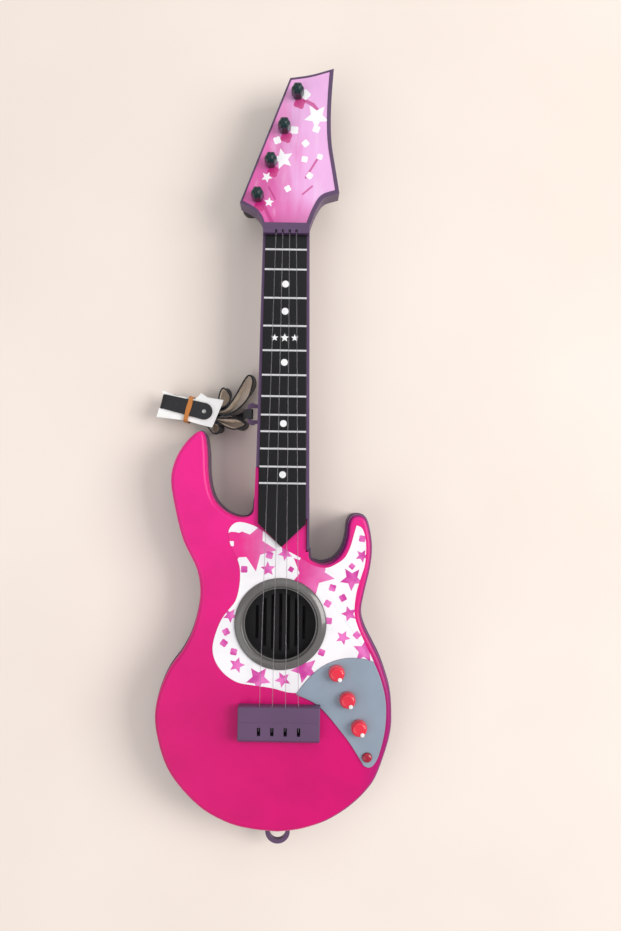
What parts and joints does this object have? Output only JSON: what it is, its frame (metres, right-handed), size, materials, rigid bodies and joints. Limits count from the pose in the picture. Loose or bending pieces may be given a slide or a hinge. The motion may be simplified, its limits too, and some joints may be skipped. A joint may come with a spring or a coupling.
{
  "type": "toy electric guitar",
  "caption": "Toy electric guitar with a magenta body, printed star plate, fretted neck, strings, rotary knobs, tuning pegs and a folded strap.",
  "frame": {"origin": "on the flat back face, straight behind the centre of the sound hole", "axes": "+X across the body to the right seen from the front, +Y along the neck towards the headstock, +Z out of the front face"},
  "size_m": [0.1866, 0.5964, 0.053],
  "materials": {
    "pink_shell": "glossy magenta moulding",
    "purple_shell": "satin dark purple moulding",
    "purple_neck": "satin purple moulding",
    "headstock_print": "printed pink gradient with white stars",
    "black_board": "satin black",
    "fret_silver": "silver foil",
    "white_print": "white print",
    "nylon_string": "clear nylon line",
    "plain_steel": "zinc plated",
    "star_print": "white with pink star print",
    "gunmetal_ring": "glossy gunmetal",
    "black_plastic": "satin black",
    "speaker_metal": "black painted pressing",
    "speaker_paper": "black paper",
    "magnet_iron": "ferrite",
    "grey_panel": "satin grey-blue",
    "red_knob": "glossy red",
    "red_button": "glossy dark red",
    "white_pointer": "glossy white",
    "green_board": "solder mask",
    "cell_jacket": "printed jacket",
    "contact_brass": "plain",
    "peg_green": "glossy dark green",
    "black_strap": "black leatherette with a pale backing",
    "white_card": "white card",
    "tan_rubber": "tan rubber",
    "wire_jacket": "insulated wire"
  },
  "bodies": {
    "root": {"body_front": "pink_shell", "body_back": "purple_shell", "neck": "purple_neck", "headstock_face": "headstock_print", "nut": "purple_neck", "fingerboard": "black_board", "frets": "fret_silver", "fret_dots": "white_print", "fret_motif": "white_print", "string_1": "nylon_string", "string_2": "nylon_string", "string_3": "nylon_string", "string_4": "nylon_string", "string_clamp": "plain_steel", "bridge": "purple_shell", "string_bar": "black_plastic", "star_plate": "star_print", "sound_hole_ring": "gunmetal_ring", "sound_cup": "black_plastic", "speaker_frame": "speaker_metal", "speaker_cone": "speaker_paper", "speaker_magnet": "magnet_iron", "control_panel": "grey_panel", "potentiometers": "plain_steel", "button_spring": "plain_steel", "button_switch": "black_plastic", "circuit_board": "green_board", "board_parts": "black_plastic", "battery_box": "black_plastic", "batteries": "cell_jacket", "battery_contacts": "contact_brass", "strap_ring": "purple_shell", "neck_lug": "purple_shell", "strap": "black_strap", "strap_card": "white_card", "rubber_band": "tan_rubber", "speaker_wires": "wire_jacket", "battery_wires": "wire_jacket", "case_screws": "plain_steel", "neck_screws": "plain_steel"},
    "peg_1": {"tuning_peg_1": "peg_green", "peg_key_1": "black_plastic"},
    "peg_2": {"tuning_peg_2": "peg_green", "peg_key_2": "black_plastic"},
    "peg_3": {"tuning_peg_3": "peg_green", "peg_key_3": "black_plastic"},
    "peg_4": {"tuning_peg_4": "peg_green", "peg_key_4": "black_plastic"},
    "knob_1": {"knob_1": "red_knob", "knob_pointer_1": "white_pointer", "pot_shaft_1": "plain_steel"},
    "knob_2": {"knob_2": "red_knob", "knob_pointer_2": "white_pointer", "pot_shaft_2": "plain_steel"},
    "knob_3": {"knob_3": "red_knob", "knob_pointer_3": "white_pointer", "pot_shaft_3": "plain_steel"},
    "button": {"push_button": "red_button"},
    "cover": {"battery_cover": "purple_shell", "battery_cover_screw": "plain_steel"}
  },
  "joints": [
    {"name": "peg_1_turn", "type": "hinge", "parent": "root", "child": "peg_1", "pos_m": [0.007, 0.4015, 0.03], "axis": [0, 0, 1], "continuous": true},
    {"name": "peg_2_turn", "type": "hinge", "parent": "root", "child": "peg_2", "pos_m": [-0.0027, 0.3755, 0.03], "axis": [0, 0, 1], "continuous": true},
    {"name": "peg_3_turn", "type": "hinge", "parent": "root", "child": "peg_3", "pos_m": [-0.0124, 0.3495, 0.03], "axis": [0, 0, 1], "continuous": true},
    {"name": "peg_4_turn", "type": "hinge", "parent": "root", "child": "peg_4", "pos_m": [-0.0221, 0.3235, 0.03], "axis": [0, 0, 1], "continuous": true},
    {"name": "knob_1_turn", "type": "hinge", "parent": "root", "child": "knob_1", "pos_m": [0.043, -0.036, 0.04], "axis": [0, 0, 1], "range_deg": [0, 300]},
    {"name": "knob_2_turn", "type": "hinge", "parent": "root", "child": "knob_2", "pos_m": [0.0515, -0.056, 0.04], "axis": [0, 0, 1], "range_deg": [0, 300]},
    {"name": "knob_3_turn", "type": "hinge", "parent": "root", "child": "knob_3", "pos_m": [0.0605, -0.077, 0.04], "axis": [0, 0, 1], "range_deg": [0, 300]},
    {"name": "button_press", "type": "slide", "parent": "root", "child": "button", "axis": [0, 0, -1], "range_m": [0, 0.0015], "stiffness_N_per_m": 400, "springref_m": -0.001, "deforming": ["button_spring"]},
    {"name": "cover_lift", "type": "slide", "parent": "root", "child": "cover", "axis": [0, 0, -1], "range_m": [0, 0.015]}
  ]
}
